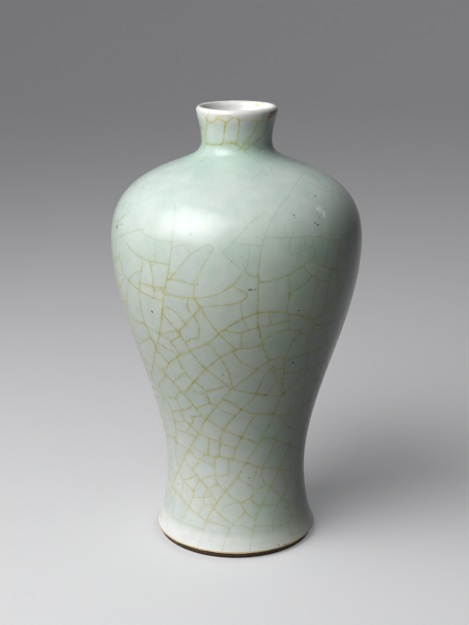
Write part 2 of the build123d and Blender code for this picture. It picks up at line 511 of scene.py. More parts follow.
middle_cracks = [
    [(157, 351), (164, 358), (169, 363)],
    [(158, 343), (168, 349), (177, 356)],
    [(161, 335), (171, 342), (180, 355)],
    [(208, 343), (216, 352), (221, 359), (227, 369), (231, 381), (232, 389)],
    [(234, 352), (240, 361), (257, 370)],
    [(185, 372), (173, 382)],
    [(177, 357), (180, 364), (185, 372), (194, 382), (201, 386), (206, 392), (209, 401)],
    [(207, 391), (217, 389), (227, 385)],
    [(166, 376), (159, 384), (160, 388), (165, 398)],
    [(164, 399), (168, 397), (177, 399)],
    [(184, 394), (179, 392)],
    [(179, 392), (177, 396), (177, 399), (179, 405), (182, 410)],
    [(172, 411), (179, 411), (187, 409), (193, 405)],
    [(196, 409), (207, 404), (217, 404)],
    [(166, 399), (171, 409), (174, 419), (176, 429), (176, 441), (176, 460), (180, 466)],
    [(180, 411), (184, 419), (191, 426), (199, 433), (210, 438), (220, 442)],
    [(191, 426), (193, 421), (191, 417)],
    [(191, 417), (197, 416), (203, 416)],
    [(207, 419), (224, 430), (241, 437), (259, 443)],
    [(273, 366), (275, 376), (281, 384)],
    [(273, 369), (285, 369)],
    [(276, 383), (267, 394)],
    [(299, 333), (293, 340), (289, 349), (285, 358)],
    [(285, 360), (297, 357), (304, 354), (314, 351), (323, 348), (329, 343)],
    [(285, 374), (296, 372), (304, 369), (316, 366), (326, 361)],
    [(307, 335), (308, 354), (306, 369), (305, 388), (303, 406), (300, 421), (296, 430)],
    [(317, 350), (316, 366), (314, 378), (306, 386), (290, 396)],
    [(301, 378), (287, 390), (282, 396)],
    [(301, 366), (300, 379)],
    [(315, 378), (314, 388), (310, 399), (305, 414), (303, 425), (302, 441), (299, 460)],
    [(327, 326), (327, 346), (323, 363), (319, 376), (315, 388)],
    [(290, 397), (290, 408), (288, 414)],
    [(282, 416), (284, 422), (286, 425), (296, 430)],
    [(286, 425), (280, 431), (274, 438)],
    [(257, 414), (251, 421), (246, 429), (242, 437), (236, 449), (234, 459)],
]
lower_cracks = [
    [(204, 454), (210, 456), (220, 457), (230, 459), (238, 461), (247, 463), (260, 467), (270, 468),
     (289, 470)],
    [(220, 444), (225, 445), (236, 449)],
    [(209, 439), (208, 454)],
    [(204, 454), (201, 460), (192, 469)],
    [(201, 460), (207, 463), (214, 466)],
    [(215, 458), (215, 467), (215, 476), (218, 484), (226, 491)],
    [(229, 459), (229, 475)],
    [(229, 475), (215, 476), (206, 477), (200, 481)],
    [(200, 481), (196, 485), (194, 492), (193, 496), (189, 507), (181, 521)],
    [(184, 460), (192, 469), (200, 480), (207, 488), (212, 495), (217, 502)],
    [(218, 484), (211, 487), (207, 489)],
    [(207, 489), (205, 494), (203, 500), (204, 504)],
    [(226, 492), (232, 498), (240, 503), (245, 511), (250, 516), (256, 519)],
    [(238, 478), (244, 482), (249, 485), (255, 491)],
    [(257, 468), (255, 477), (249, 485)],
    [(262, 468), (262, 476), (265, 485)],
    [(265, 485), (272, 485)],
    [(265, 485), (256, 491), (250, 498), (241, 503)],
    [(250, 498), (256, 504), (261, 506)],
    [(271, 487), (279, 494), (283, 498), (288, 502)],
    [(283, 498), (277, 505), (274, 515), (273, 525)],
    [(256, 526), (272, 526), (289, 524)],
    [(288, 502), (290, 508), (290, 516), (288, 524), (291, 531), (293, 540)],
    [(246, 511), (238, 519), (232, 525), (229, 531), (225, 541), (222, 550), (221, 556)],
    [(214, 509), (221, 516), (232, 524)],
    [(206, 521), (217, 524), (228, 528)],
    [(189, 507), (197, 514), (206, 521)],
    [(171, 487), (176, 491), (181, 497), (189, 507)],
    [(275, 442), (270, 454), (263, 467)],
    [(263, 438), (275, 439), (289, 446), (299, 448)],
    [(281, 471), (287, 484), (286, 490), (283, 498)],
    [(181, 477), (184, 480), (193, 477)],
    [(184, 481), (192, 490)],
    [(296, 472), (296, 493), (297, 509), (298, 516), (299, 532)],
    [(300, 482), (302, 492), (303, 504), (304, 520), (305, 528)],
]
faint_cracks = [
    [(222, 253), (231, 261), (244, 272)],
    [(250, 245), (249, 258), (246, 270)],
    [(238, 244), (263, 246)],
    [(128, 280), (135, 273), (142, 271)],
    [(142, 233), (157, 240), (172, 242)],
    [(154, 244), (155, 261)],
    [(241, 306), (243, 318), (247, 327)],
    [(270, 315), (271, 325)],
    [(290, 315), (290, 329)],
    [(193, 497), (201, 498), (211, 497)],
    [(171, 515), (179, 521), (193, 526), (202, 530)],
    [(176, 470), (175, 487), (175, 498), (173, 509), (171, 515)],
    [(198, 515), (204, 506), (212, 504)],
    [(168, 434), (178, 443), (187, 449), (193, 453)],
    [(166, 436), (176, 438)],
    [(262, 505), (270, 505), (277, 505)],
    [(273, 526), (273, 538)],
    [(290, 517), (297, 516), (304, 518)],
    [(289, 256), (300, 252), (313, 246)],
    [(297, 253), (298, 268)],
    [(303, 199), (304, 195), (310, 193)],
    [(320, 280), (329, 281)],
    [(330, 221), (331, 230), (330, 239)],
    [(233, 526), (243, 526), (252, 530)],
    [(222, 511), (225, 506), (231, 504), (241, 502)],
    [(191, 389), (199, 394), (207, 394)],
    [(217, 406), (224, 411), (233, 415)],
    [(176, 429), (186, 433), (193, 436)],
    [(191, 426), (186, 432)],
    [(174, 421), (183, 422)],
    [(183, 482), (181, 497)],
    [(194, 447), (204, 454)],
    [(191, 454), (200, 460)],
    [(139, 344), (144, 356), (152, 376), (159, 392), (165, 398)],
    [(163, 399), (163, 412), (167, 424)],
    [(291, 463), (290, 470), (291, 480)],
    [(117, 237), (134, 231), (144, 229)],
    [(311, 183), (316, 187), (320, 189), (330, 192)],
    [(336, 187), (340, 190), (343, 194)],
    [(316, 174), (322, 177)],
    [(284, 223), (287, 236)],
    [(286, 224), (306, 221)],
    [(310, 229), (311, 237)],
    [(322, 219), (322, 236)],
    [(289, 240), (290, 250), (289, 256)],
    [(305, 238), (305, 245)],
]
neck_cracks = [
    [(206, 117), (207, 124), (205, 136), (205, 143), (204, 151)],
    [(226, 122), (225, 127), (224, 134), (223, 144)],
    [(239, 119), (239, 125), (238, 136), (236, 144)],
    [(258, 123), (253, 133), (248, 140), (239, 150)],
    [(269, 121), (263, 135), (256, 142), (248, 148)],
    [(205, 143), (208, 144), (217, 145), (223, 144), (233, 143), (240, 147), (245, 152)],
    [(205, 117), (208, 122), (213, 122), (217, 119), (222, 120), (226, 123)],
    [(226, 123), (229, 121), (233, 118), (239, 119)],
]
pale_neck_cracks = [
    [(215, 116), (223, 116), (232, 116)],
    [(243, 120), (249, 120), (263, 121), (270, 116), (275, 113)],
    [(209, 113), (208, 118)],
    [(263, 112), (262, 119)],
    [(248, 142), (253, 145), (261, 149)],
]

# Each group of routes with the strength of its stain
traced_groups = (
    (long_cracks, 1.0), (neck_cracks, 0.8), (upper_cracks, 0.9), (middle_cracks, 0.9),
    (lower_cracks, 0.95), (faint_cracks, 0.55), (pale_neck_cracks, 0.35),
)

# Small marks on the front, in the same pixels, with their size in millimetres
pinholes = [
    ((149, 191), 0.5), ((190, 219), 0.35), ((191, 234), 0.45), ((294, 215), 0.6), ((315, 196), 0.65),
    ((318, 225), 0.7), ((242, 257), 0.45), ((232, 262), 0.45), ((245, 269), 0.45), ((249, 290), 0.6),
    ((251, 290), 0.65), ((253, 290), 0.5), ((256, 290), 0.5), ((295, 218), 0.5), ((315, 223), 0.6),
    ((152, 312), 0.6), ((299, 310), 0.8), ((293, 363), 0.9), ((223, 375), 0.5), ((345, 298), 0.6),
    ((249, 478), 0.6), ((266, 395), 0.8), ((284, 393), 1.0), ((202, 161), 0.5), ((279, 545), 0.5),
    ((285, 544), 0.4), ((324, 209), 0.6), ((319, 217), 0.4), ((261, 209), 0.4), ((256, 237), 0.4),
    ((293, 233), 0.35), ((328, 234), 0.4), ((340, 281), 0.6), ((287, 507), 0.5), ((233, 524), 0.5),
]
rust_spots = [
    ((274, 114), 2.6), ((271, 115), 2.4), ((269, 117), 1.4),
    ((117, 227), 1.4), ((118, 221), 1.0),
    ((163, 346), 0.7), ((165, 348), 0.8), ((167, 350), 0.6),
]
brown_joints = [
    ((219, 334), 1.3), ((258, 313), 1.2), ((258, 327), 1.0), ((244, 318), 1.5), ((162, 318), 1.2),
    ((153, 287), 0.9), ((145, 324), 0.9), ((160, 334), 1.1), ((176, 332), 1.0), ((171, 342), 0.9),
    ((185, 343), 1.0), ((266, 395), 1.8), ((283, 394), 2.0), ((241, 409), 1.3), ((242, 437), 1.2),
    ((247, 463), 1.0), ((282, 384), 1.1), ((288, 275), 1.0), ((222, 478), 0.8), ((207, 145), 1.6),
    ((220, 145), 2.0), ((232, 143), 1.2),
]
green_pools = [
    ((212, 272), 6), ((268, 434), 14), ((277, 455), 12), ((278, 342), 9), ((300, 292), 10),
    ((320, 250), 8), ((345, 257), 6), ((262, 505), 9), ((283, 510), 9), ((300, 360), 8),
    ((172, 505), 6),
]
# Scuffs, and white spots painted as glints of light, in the same pixels, with their size in millimetres
scuffs_and_painted_glints = [((321, 210), 2.6), ((318, 209), 1.4), ((324, 214), 1.8), ((263, 152), 0.7)]

# Stains on the inner side of the lip, as places on the vase, in millimetres
lip_stains = [
    ((8.5, 12.7, 198.5), 1.8), ((9.8, 11.8, 198.2), 1.0), ((5.2, 14.8, 199.2), 0.6),
    ((-6.0, 15.0, 199.3), 0.7), ((-13.5, 7.4, 198.4), 0.8),
]


def flowing(route, steps=8):
    """Smooth line through given points, in this many steps from each to the next."""
    marks = [Vector(mark) for mark in route]
    marks = marks[:1] + marks + marks[-1:]
    line = []
    for before, start, end, after in zip(marks, marks[1:], marks[2:], marks[3:]):
        for step in range(steps):
            share = step / steps
            way = (end - before) * share
            bend = (2 * before - 5 * start + 4 * end - after) * share ** 2
            twist = (3 * start - before - 3 * end + after) * share ** 3
            line.append(start + (way + bend + twist) / 2)
    return line + marks[-1:]


class Crackle:
    """Net of cracks in the glaze. Each crack splits the faces that it crosses."""

    # Share of an edge at its ends within which a crack takes the corner
    snap_share = 0.16

    # Pixels within which a route's end is led to a line, an older corner is taken and faces are looked at
    end_reach = 6
    catch_pixels = 0.9
    near_pixels = 9

    # Pixels by which a crack runs past its route
    overshoot = 0.4

    # How near in metres, and how straight ahead, a crack lies that a loose end is led on to
    join_reach = 0.0034
    join_cosine = 0.45

    # How much stronger the stain is where cracks meet
    junction_gain = 1.35

    # Chance ranges of a fine crack: its cell's size, its stain, its lean in degrees, shift and bend
    cell_spread = (0.75, 1.45)
    stain_spread = (0.6, 1)
    most_lean = 19
    most_shift = 0.13
    most_bend = 0.45

    # Square of an even bar's length as a multiple of its points' spread, and the least values to divide by
    bar_factor = 12
    least_spread = 1e-10
    least_square = 1e-16

    # Way that tells the upper end of a cell from its lower one
    upward = (0.6, 0.3, 1)

    def __init__(self, shape, faces, view):
        self.shape = shape
        self.view = view
        self.stains = {}
        self.lines = {}
        chosen = set(faces)
        self.fixed = {vert for face in shape.faces if face not in chosen for vert in face.verts}
        self.faces = dict.fromkeys(faces)
        self.front = {}
        for face in faces:
            centre = face.calc_center_median()
            if face.normal.dot(view.place - centre) > 0:
                self.front[face] = view.pixel(centre)

    def cross(self, edge, share, sides):
        """Puts a vertex of the crack on this edge, or moves a near one there."""
        first, last = edge.verts
        point = first.co.lerp(last.co, share)
        near = None
        if share < self.snap_share:
            near = first
        elif share > 1 - self.snap_share:
            near = last
        if near is not None:
            if near not in self.stains and near not in self.fixed:
                near.co = point
            sides[near] = 0
            return
        on_crack = edge in self.lines
        new_edge, vert = bmesh.utils.edge_split(edge, first, share)
        vert.co = point
        sides[vert] = 0
        if on_crack:
            self.lines[new_edge] = None
            self.stains[vert] = min(self.stains[first], self.stains[last])

    def mark(self, edge, stain):
        """Counts an edge as part of a crack."""
        self.lines[edge] = None
        for vert in edge.verts:
            self.stains[vert] = max(stain, self.stains.get(vert, 0))

    def cut(self, faces, level, stain, within=None, catch=0):
        """Cracks these faces where the level changes sign, by way of the corners of older cracks near it.

        Returns the faces with those that they gave off.
        """
        sides = {}
        for face in faces:
            for vert in face.verts:
                if vert not in sides:
                    sides[vert] = level(vert.co)
                    caught = vert in self.stains and abs(sides[vert]) < catch
                    if caught and (within is None or within(vert.co)):
                        sides[vert] = 0
        for edge in dict.fromkeys(edge for face in faces for edge in face.edges):
            first, last = edge.verts
            low, high = sides[first], sides[last]
            if low * high < 0:
                share = low / (low - high)
                if within is None or within(first.co.lerp(last.co, share)):
                    self.cross(edge, share, sides)
        pieces = list(faces)
        for face in faces:
            on_line = [vert for vert in face.verts if sides.get(vert) == 0]
            if len(on_line) < 2:
                continue
            pairs = [(a, b) for place, a in enumerate(on_line) for b in on_line[place + 1:]]
            start, end = max(pairs, key=lambda pair: (pair[0].co - pair[1].co).length)
            joined = next((edge for edge in start.link_edges if edge.other_vert(start) == end), None)
            if joined is None:
                piece, loop = bmesh.utils.face_split(face, start, end)
                joined = loop.edge
                pieces.append(piece)
                self.faces[piece] = None
                if face in self.front:
                    self.front[piece] = self.view.pixel(piece.calc_center_median())
            self.mark(joined, stain)
        return pieces

    def tied(self, lines):
        """Leads both ends of each line to the line that lies nearest, where one is within reach."""
        points = np.array([point[:] for line in lines for point in line])
        owners = np.repeat(np.arange(len(lines)), [len(line) for line in lines])
        led = []
        for number, line in enumerate(lines):
            others = points[owners != number]
            ends = []
            for end in (line[0], line[-1]):
                gaps = np.linalg.norm(others - np.array(end), axis=1)
                nearest = int(np.argmin(gaps))
                ends.append([Vector(others[nearest])] if 0 < gaps[nearest] < self.end_reach else [])
            led.append(ends[0] + line + ends[1])
        return led

    def trace(self, line, stain):
        """Cuts a crack along a line of pixels."""
        steep = abs(line[-1].y - line[0].y) >= abs(line[-1].x - line[0].x)
        along, aside = (1, 0) if steep else (0, 1)
        ordered = sorted(line, key=lambda point: point[along])
        stations = [point[along] for point in ordered]
        offsets = [point[aside] for point in ordered]
        low, high = stations[0] - self.overshoot, stations[-1] + self.overshoot
        margin = self.near_pixels
        widest = (min(offsets) - margin, max(offsets) + margin)
        faces = [
            face for face, seen in self.front.items()
            if low - margin < seen[along] < high + margin and widest[0] < seen[aside] < widest[1]]

        def level(point):
            seen = self.view.pixel(point)
            return seen[aside] - np.interp(seen[along], stations, offsets)

        def within(point):
            return low <= self.view.pixel(point)[along] <= high

        self.cut(faces, level, stain, within, self.catch_pixels)

    def join_ends(self):
        """Leads each loose end of a crack on to the next crack that lies ahead of it, where one is near."""
        for end in list(self.stains):
            cracked = [edge for edge in end.link_edges if edge in self.lines]
            if len(cracked) != 1:
                continue
            way = (end.co - cracked[0].other_vert(end).co).normalized()
            around = dict.fromkeys(
                face for near in end.link_faces for vert in near.verts for face in vert.link_faces
                if face in self.faces)
            corners = dict.fromkeys(vert for face in around for vert in face.verts if vert in self.stains)
            ahead = {}
            for other in corners:
                step = other.co - end.co
                if 0 < step.length < self.join_reach and step.normalized().dot(way) > self.join_cosine:
                    ahead[other] = step.length / step.normalized().dot(way)
            if ahead:
                self.bridge(around, end, min(ahead, key=ahead.get))

    def bridge(self, faces, start, end):
        """Cracks the glaze straight from one crack's corner to another's."""
        step = end.co - start.co
        reach = step.length
        way = step / reach
        across = start.normal.cross(way).normalized()
        slack = reach / 100

        def level(point):
            return 0 if point in (start.co, end.co) else (point - start.co).dot(across)

        def within(point):
            return -slack <= (point - start.co).dot(way) <= reach + slack

        self.cut(list(faces), level, min(self.stains[start], self.stains[end]), within)

    def cells(self, faces):
        """Groups of these faces that no crack parts."""
        waiting = dict.fromkeys(faces)
        groups = []
        while waiting:
            seed = next(iter(waiting))
            del waiting[seed]
            group = [seed]
            for face in group:
                for edge in face.edges:
                    if edge in self.lines:
                        continue
                    for other in edge.link_faces:
                        if other in waiting:
                            del waiting[other]
                            group.append(other)
            groups.append(group)
        return groups

    def parting(self, chance, cell, areas, centres, middle):
        """Curved line across the length of a cell, as the distance of a point to one side of it."""
        spread = centres - middle
        sizes, ways = np.linalg.eigh((spread * areas[:, None]).T @ spread / areas.sum())
        reach = math.sqrt(self.bar_factor * sizes[2])
        breadth = math.sqrt(self.bar_factor * max(sizes[1], self.least_spread))
        facing = sum((face.normal * size for face, size in zip(cell, areas)), Vector()).normalized()
        way = Vector(ways[:, 2])
        if way.dot(self.upward) < 0:
            way.negate()
        across = facing.cross(way).normalized()
        lean = math.radians(chance.uniform(-self.most_lean, self.most_lean))
        leaning_way = way * math.cos(lean) + across * math.sin(lean)
        leaning_across = across * math.cos(lean) - way * math.sin(lean)
        start = Vector(middle) + leaning_way * reach * chance.uniform(-self.most_shift, self.most_shift)
        bend = chance.uniform(-self.most_bend, self.most_bend) / breadth

        def level(point):
            away = point - start
            return away.dot(leaning_way) + bend * away.dot(leaning_across) ** 2

        return level

    def craze(self, chance, faces, wanted_area, stain_at):
        """Splits each cell of these faces until it is small enough. Returns the finished cells."""
        waiting = self.cells(faces)
        finished = []
        while waiting:
            cell = waiting.pop()
            areas = np.array([face.calc_area() + weld ** 2 for face in cell])
            centres = np.array([face.calc_center_median() for face in cell])
            area = areas.sum()
            middle = (centres * areas[:, None]).sum(axis=0) / area
            if area < wanted_area(middle[2]) * chance.uniform(*self.cell_spread):
                finished.append(cell)
                continue
            level = self.parting(chance, cell, areas, centres, middle)
            stain = stain_at(middle[2]) * chance.uniform(*self.stain_spread)
            parts = self.cells(self.cut(cell, level, stain))
            if len(parts) > 1:
                waiting.extend(parts)
            else:
                finished.append(cell)
        return finished

    def nearest_line(self, vert):
        """Distance from a vertex to the cracks on the faces around it, and their stain."""
        nearest, stain = None, 0
        for edge in dict.fromkeys(edge for face in vert.link_faces for edge in face.edges):
            if edge not in self.lines:
                continue
            start, end = edge.verts
            way = end.co - start.co
            share = (vert.co - start.co).dot(way) / max(way.length_squared, self.least_square)
            foot = start.co + way * min(max(share, 0), 1)
            gap = (vert.co - foot).length
            if nearest is None or gap < nearest:
                nearest, stain = gap, (self.stains[start] + self.stains[end]) / 2
        return nearest, stain

    def measure(self, far):
        """Writes on every vertex its distance to the nearest crack and that crack's stain."""
        shape = self.shape
        gap_layer = shape.verts.layers.float["crack_distance"]
        stain_layer = shape.verts.layers.float["crack_stain"]
        loose = [
            edge for edge in shape.edges
            if edge not in self.lines and all(vert in self.stains for vert in edge.verts)]
        for edge in loose:
            bmesh.utils.edge_split(edge, edge.verts[0], 0.5)

        def write(verts):
            for vert in verts:
                if vert in self.stains:
                    vert[stain_layer] = self.stains[vert]
                    continue
                gap, stain = self.nearest_line(vert)
                vert[gap_layer] = far if gap is None else gap / millimetre
                vert[stain_layer] = stain

        for vert in self.stains:
            meeting = sum(edge in self.lines for edge in vert.link_edges)
            if meeting > 2:
                self.stains[vert] *= self.junction_gain
        write(shape.verts)
        crowded = []
        for face in shape.faces:
            marked = [vert for vert in face.verts if vert in self.stains]
            apart = len(marked) == 2 and not any(
                edge.other_vert(marked[0]) == marked[1] for edge in marked[0].link_edges)
            if len(marked) > 2 or apart:
                crowded.append(face)
        poked = bmesh.ops.poke(shape, faces=crowded)
        write(poked["verts"])


# Pieces

def new_object(name, data):
    """Object of this data, in the scene."""
    thing = bpy.data.objects.new(name, data)
    bpy.context.scene.collection.objects.link(thing)
    return thing


def smooth_mesh(name, shape):
    """Smoothly shaded mesh of a finished shape."""
    mesh = bpy.data.meshes.new(name)
    shape.to_mesh(mesh)
    shape.free()
    for polygon in mesh.polygons:
        polygon.use_smooth = True
    return mesh


def as_piece(name, shape, material, slot, *nodes):
    """Piece of the finished shape. It rides on the vase and stands for these CAD nodes. The slot is not
    used.
    """
    piece = new_object(name, smooth_mesh(name, shape))
    piece.data.materials.append(material)
    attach(piece, "root")
    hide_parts(*nodes)
    return piece


def dress(node_name, material):
    """Gives a CAD node its finish."""
    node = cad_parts[node_name]
    node.data.materials.clear()
    node.data.materials.append(material)


class Celadon(Finish):
    """The crackled glaze: bluer on the shoulder, deep in the neck hollow, thinly spread on lip and foot,
    with painted bounce light low on the wall, a greener tint painted on the side in shade, and painted
    glints.
    """

    # Sizes of its random patterns in millimetres
    drift_size = 34
    patch_size = 13
    dot_spacing = 11
    dot_group_size = 9
    rust_size = 7
    mottle_size = 5
    wander_size = 2.5
    torn_size = 0.9
    grain_size = 0.8

    # How far the patterns shift a border, in millimetres, and which share of that each border takes
    blur = 30
    lower_wall_blur = 0.5
    foot_blur = 0.12
    fading_blur = 0.6
    lip_blur = 4
    edge_blur = 0.8
    fray = 1.8

    # Heights in millimetres from which one look gives way to the next, and up to which
    shoulder_zone = (122, 168)
    hollow_foot = (171, 180)
    hollow_top = (190, 183)
    neck_zone = (182, 187)
    lower_wall_zone = (85, 25)
    foot_zone = (14, 8)
    lip_zone = (193, 197)
    painted_shade_heights = (172, 135)
    fading_zone = (122, 154)
    neck_edge = (184, 181)
    low_fading = (62, 36)
    foot_fading = (22, 8)
    amber_zone = (181, 183.5)
    lower_edge = (3.7, 3.25)
    lip_rust_zone = (196, 198)

    # Millimetres to the right from which the side in shade is painted greener, and squares of those of the
    # flanks
    painted_shade_side = (-20, 40)
    flank_squares = (400, 2200)

    # Ranges of the patterns between which a look comes in
    patch_range = (0.42, 0.62)
    mottle_range = (0.35, 0.7)
    grain_range = (0.4, 0.7)
    bead_range = (0.35, 0.6)
    broken_range = (0.1, 0.62)
    brown_range = (0.35, 0.65)
    dot_range = (0.5, 0.2)
    dot_group_range = (0.56, 0.62)
    dot_grain = (0.2, 0.45)
    lip_rust_range = (0.64, 0.8)
    lip_stain_range = (0.3, 0.6)
    rust_range = (0.15, 0.55)
    scuff_and_glint_grain = (0.42, 0.58)

    # Widths of the parts of a crack, in halves of its own width
    halo_width = 5
    amber_width = 4.5
    line_width = 2.6
    core_width = 0.8

    # Share of a mark's size within which it is full
    pool_core = 0.1
    blot_core = 0.2
    pinhole_core = 0.3
    scuff_and_glint_core = 0.4

    # Strength and tone of what each look takes from the colour below
    patch_tint = (0.35, from_screen(234, 245, 244))
    cell_tint = (0.3, from_screen(230, 244, 241))
    mottle_tint = (0.5, from_screen(240, 243, 236))
    grain_tint = (0.25, from_screen(236, 240, 236))
    pool_tint = (0.6, from_screen(234, 252, 245))
    halo_tint = (0.35, from_screen(245, 240, 216))
    amber_tint = (0.8, from_screen(252, 245, 212))
    groove_tint = (0.5, from_screen(228, 231, 227))
    line_strength = 0.9
    # Share of painted bounce light that pales the wall towards the foot
    painted_bounce_strength = 0.45
    dot_strength = 0.6
    lip_rust_strength = 0.5
    scuff_and_glint_strength = 0.9
    neck_tone = from_screen(253, 250, 248)
    # Warm green tint painted on the side in shade
    painted_shade_tone = from_screen(246, 255, 244)
    lip_stain_tone = from_screen(243, 224, 176)
    # White painted over the scuffs and as glints of light
    scuff_and_painted_glint_colour = from_screen(248, 250, 248)

    # Share of the stain that is gone on the shoulder, less of it on the flanks, and towards the foot
    shoulder_loss = 0.85
    flank_gain = 0.4
    low_loss = 0.18
    foot_loss = 0.55

    # Least share that is left where a pattern breaks up the stain, the line, the brown or the rust
    least_bead = 0.6
    least_line = 0.5
    least_brown = 0.4
    least_rust = 0.3

    # Depths of its waves and dents in millimetres, and the share of a dent that a crack has
    wave_depth = 0.25
    dent_depth = 0.04
    groove_share = 0.6

    # Roughness, and what the mottle, the stained lines, and the scuffs with their painted glints add to it
    smooth_roughness = 0.11
    mottle_roughness = 0.05
    line_roughness = 0.1
    scuff_and_glint_roughness = 0.4

    def __init__(self, owner, shader, constants):
        super().__init__(owner, shader, constants)
        self.here = self.place()
        self.level = self.height(self.here)
        self.side = self.node("ShaderNodeSeparateXYZ", {}, {"Vector": self.here}, "X") / millimetre
        self.gap = self.attribute("crack_distance")
        self.drift = self.cloud(self.here, self.drift_size, detail=3)
        self.mottle = self.cloud(self.here, self.mottle_size, detail=4)
        self.grain = self.cloud(self.here, self.grain_size)
        self.wander = self.cloud(self.here, self.wander_size, detail=3)
        self.rusty = self.cloud(self.here, self.rust_size, detail=3)
        self.uneven = (self.drift - 0.5) * self.blur
        # Rises towards the foot: it pales the lower wall as painted bounce light, and weakens the brown in
        # the cracks
        self.lower_wall = self.ease(self.level + self.uneven * self.lower_wall_blur, *self.lower_wall_zone)
        torn = self.cloud(self.here, self.torn_size, output="Color")
        fray = Vector.Fill(3, self.fray * millimetre)
        self.ragged = self.node(
            "ShaderNodeVectorMath", {"operation": "MULTIPLY_ADD"}, {0: torn, 1: fray, 2: self.here})
        self.frayed_middle = fray / 2

    def marks(self, spots, core, touch):
        """Ragged marks at pixels of the photograph, each full within this share of its size."""
        shares = []
        for pixel, size in spots:
            shares.append(self.spot(self.ragged, touch(pixel) + self.frayed_middle, size * core, size))
        return functools.reduce(Signal.most, shares)

    def ground(self, glaze, touch):
        """Colour of the glaze between its cracks, from the foot to the lip."""
        shoulder = self.ease(self.level + self.uneven, *self.shoulder_zone)
        base = self.mix(shoulder, tuple(glaze.body_colour), tuple(glaze.shoulder_colour))
        pooled = self.ease(self.level, *self.hollow_foot) * self.ease(self.level, *self.hollow_top)
        base = self.mix(pooled, base, tuple(glaze.pooled_colour))
        base = self.tint(self.ease(self.level, *self.neck_zone), base, self.neck_tone)
        patches = self.ease(self.cloud(self.here, self.patch_size, detail=3), *self.patch_range)
        base = self.tinted(patches * shoulder, base, self.patch_tint)
        foot = self.ease(self.level + self.uneven * self.foot_blur, *self.foot_zone)
        # Pale band at the foot, and the lower wall paled by painted bounce light from the floor
        base = self.mix((self.lower_wall * self.painted_bounce_strength).most(foot), base, tuple(glaze.foot_colour))
        lip = self.ease(self.level + (self.mottle - 0.5) * self.lip_blur, *self.lip_zone)
        base = self.mix(lip, base, tuple(glaze.lip_colour))
        base = self.tinted(self.attribute("cell_tint") * (1 - foot), base, self.cell_tint)
        base = self.tinted(self.ease(self.mottle, *self.mottle_range), base, self.mottle_tint)
        base = self.tinted(self.ease(self.grain, *self.grain_range), base, self.grain_tint)
        # Warm green tint painted on the right side, which is in shade: painted shade colour
        painted_shade_share = self.ease(self.side + self.uneven, *self.painted_shade_side)
        base = self.tint(painted_shade_share * self.ease(self.level, *self.painted_shade_heights), base, self.painted_shade_tone)
        return self.tinted(self.marks(green_pools, self.pool_core, touch), base, self.pool_tint)

    def old_stain(self):
        """Strength of the stain in a crack, which fades on the shoulder and towards the foot."""
        flank = self.ease(self.side * self.side, *self.flank_squares)
        faded = self.ease(self.level + self.uneven * self.fading_blur, *self.fading_zone)
        faded = faded * self.ease(self.level, *self.neck_edge) * (
            self.shoulder_loss - self.flank_gain * flank)
        faded = faded + self.low_loss * self.ease(self.level, *self.low_fading)
        faded = faded + self.foot_loss * self.ease(self.level, *self.foot_fading)
        beads = self.least_bead + (1 - self.least_bead) * self.ease(self.grain, *self.bead_range)
        broken = self.ease(self.wander, *self.broken_range)
        return self.attribute("crack_stain") * (1 - faded) * broken * beads

    def crackled(self, base, glaze, touch):
        """Colour with the cracks over it, and the stained line and the groove of each crack."""
        half = glaze.crack_width / millimetre / 2
        stain = self.old_stain()
        halo = self.ease(self.gap, half * self.halo_width, 0) * stain
        narrowed = self.least_line + (1 - self.least_line) * stain
        line = self.ease(self.gap / narrowed, half * self.line_width, 0) * stain
        core = self.ease(self.gap, half * self.core_width, 0) * stain
        base = self.tinted(halo, base, self.halo_tint)
        base = self.tint(line * self.line_strength, base, tuple(glaze.stain_colour))
        browned = self.ease(self.rusty, *self.brown_range) * (1 - (1 - self.least_brown) * self.lower_wall)
        blots = line * self.marks(brown_joints, self.blot_core, touch)
        base = self.tint((core * browned).most(blots), base, tuple(glaze.core_colour))
        amber = self.ease(self.gap, half * self.amber_width, 0) * stain
        base = self.tinted(amber * self.ease(self.level, *self.amber_zone), base, self.amber_tint)
        groove = self.ease(self.gap, half, 0)
        return self.tinted(groove * (1 - stain), base, self.groove_tint), line, groove

    def marked(self, base, glaze, touch):
        """Colour with the lower edge, dots, stains, scuffs and painted glints over it, and the dots and the
        scuffs with the glints.
        """
        edge = self.ease(self.level + (self.mottle - 0.5) * self.edge_blur, *self.lower_edge)
        base = self.tint(edge, base, tuple(glaze.edge_colour))
        scale = 1 / (self.dot_spacing * millimetre)
        apart = self.node("ShaderNodeTexVoronoi", {}, {"Vector": self.here, "Scale": scale}, "Distance")
        groups = self.ease(self.cloud(self.here, self.dot_group_size, detail=0), *self.dot_group_range)
        dots = self.ease(apart * self.dot_spacing, *self.dot_range) * groups * self.dot_strength
        dots = dots.most(self.marks(pinholes, self.pinhole_core, touch))
        dots = dots * self.ease(self.grain, *self.dot_grain)
        base = self.tint(dots, base, tuple(glaze.pinhole_colour))
        lip_stain = 0
        for spot, size in lip_stains:
            middle = Vector(spot) * millimetre
            lip_stain = lip_stain + self.spot(self.here, middle, size * self.blot_core, size)
        lip_stain = lip_stain * self.ease(self.wander, *self.lip_stain_range)
        base = self.tint(lip_stain, base, self.lip_stain_tone)
        rust = self.ease(self.level, *self.lip_rust_zone) * self.ease(self.rusty, *self.lip_rust_range)
        rust = (rust * self.lip_rust_strength).most(self.marks(rust_spots, self.blot_core, touch))
        rust = rust * (self.least_rust + (1 - self.least_rust) * self.ease(self.wander, *self.rust_range))
        base = self.tint(rust, base, tuple(glaze.rust_colour))
        # Scuffs, and white spots painted as glints of light
        scuff_and_glint = self.marks(scuffs_and_painted_glints, self.scuff_and_glint_core, touch) * self.ease(self.grain, *self.scuff_and_glint_grain)
        return self.mix(scuff_and_glint * self.scuff_and_glint_strength, base, self.scuff_and_painted_glint_colour), dots, scuff_and_glint

